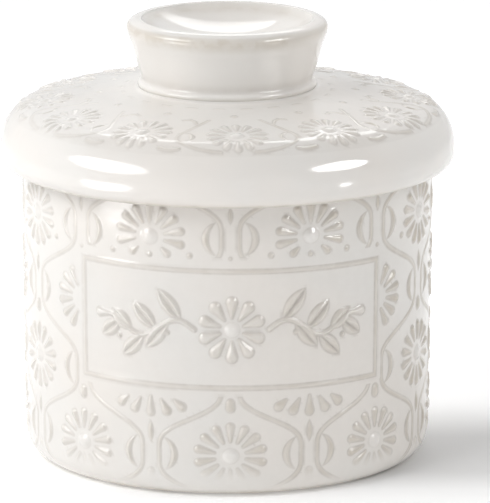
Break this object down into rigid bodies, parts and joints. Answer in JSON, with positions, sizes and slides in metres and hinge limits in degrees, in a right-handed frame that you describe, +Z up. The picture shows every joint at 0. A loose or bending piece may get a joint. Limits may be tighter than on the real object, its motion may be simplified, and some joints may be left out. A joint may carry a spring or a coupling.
{
  "type": "butter crock",
  "caption": "Round glazed stoneware crock with a lift-off lid: a dished knob above, and an upside-down bell below that holds butter over water.",
  "frame": {"origin": "centre of the foot ring's underside, on the surface the crock stands on", "axes": "+Z up along the axis the pot and the lid are turned about; -Y towards the front, where the framed panel is"},
  "size_m": [0.115, 0.115, 0.1114],
  "materials": {
    "pot_glaze": "gloss",
    "cover_glaze": "gloss",
    "knob_glaze": "gloss",
    "bell_glaze": "gloss"
  },
  "bodies": {
    "pot": {"crock_pot": "pot_glaze"},
    "lid": {"lid_cover": "cover_glaze", "lid_knob": "knob_glaze", "butter_bell": "bell_glaze"}
  },
  "joints": [
    {"name": "lid_lift", "type": "slide", "parent": "pot", "child": "lid", "axis": [0, 0, 1], "range_m": [0, 0.08]}
  ]
}
